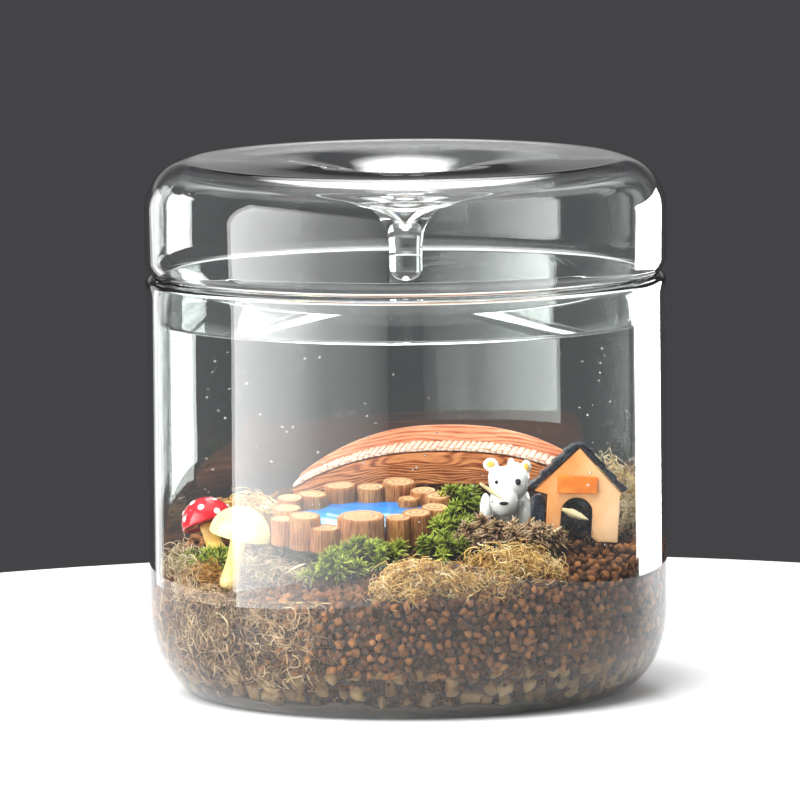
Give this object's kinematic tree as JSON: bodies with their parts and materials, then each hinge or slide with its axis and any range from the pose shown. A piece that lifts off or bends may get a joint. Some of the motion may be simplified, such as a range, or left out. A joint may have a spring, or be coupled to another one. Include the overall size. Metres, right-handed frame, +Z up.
{
  "type": "glass jar terrarium with lid",
  "caption": "Round lidded glass jar planted as a small landscape, with soil, moss, a pond ringed by stumps, an arched footbridge, a kennel with its dog, and toadstools.",
  "frame": {"origin": "centre of the jar's flat foot, in the plane that it stands on", "axes": "+Z up along the jar's axis, -Y towards the front, where the pond and the kennel's doorway face the viewer, +X to the right seen from the front"},
  "size_m": [0.12, 0.12, 0.1232],
  "materials": {
    "clear_glass": "clear polished blown glass",
    "pumice": "damp brown gravel with tan pumice lumps",
    "soil": "damp red-brown baked clay granules",
    "sphagnum": "dry golden moss strands",
    "green_moss": "fresh green moss leaves",
    "khaki_moss": "drying khaki moss leaves",
    "stump_wood": "painted resin, carved as bark and end grain",
    "pond_blue": "glossy blue resin",
    "bridge_brown": "painted resin with wood grain",
    "bridge_salmon": "painted resin with wood grain",
    "bridge_pale": "painted resin, carved as planks",
    "kennel_peach": "satin peach paint on resin",
    "kennel_navy": "glossy navy paint on resin",
    "kennel_orange": "satin orange paint on resin",
    "dog_white": "glossy white paint on resin",
    "cap_red": "glossy red paint with white dots",
    "cap_yellow": "glossy pale yellow paint",
    "stem_orange": "glossy orange-yellow paint",
    "stem_yellow": "glossy warm yellow paint"
  },
  "bodies": {
    "root": {"jar": "clear_glass", "lid": "clear_glass", "drainage_gravel": "pumice", "soil_granules": "soil", "sphagnum_left": "sphagnum", "sphagnum_front": "sphagnum", "sphagnum_right": "sphagnum", "sphagnum_back_right": "sphagnum", "sphagnum_back_left": "sphagnum", "moss_green_centre": "green_moss", "moss_green_mid": "green_moss", "moss_green_front": "green_moss", "moss_green_corner": "green_moss", "moss_green_low": "green_moss", "moss_green_left": "green_moss", "moss_green_back": "green_moss", "moss_khaki_centre": "khaki_moss", "moss_khaki_right": "khaki_moss", "pond_rim": "stump_wood", "pond_water": "pond_blue", "bridge_front_board": "bridge_brown", "bridge_back_board": "bridge_salmon", "bridge_deck": "bridge_pale", "kennel_front": "kennel_peach", "kennel_body": "kennel_navy", "kennel_roof": "kennel_navy", "kennel_side_post": "kennel_navy", "kennel_sign": "kennel_orange", "dog": "dog_white", "toadstool_red_cap": "cap_red", "toadstool_red_stem": "stem_orange", "toadstool_yellow_cap": "cap_yellow", "toadstool_yellow_stem": "stem_yellow"}
  },
  "joints": []
}
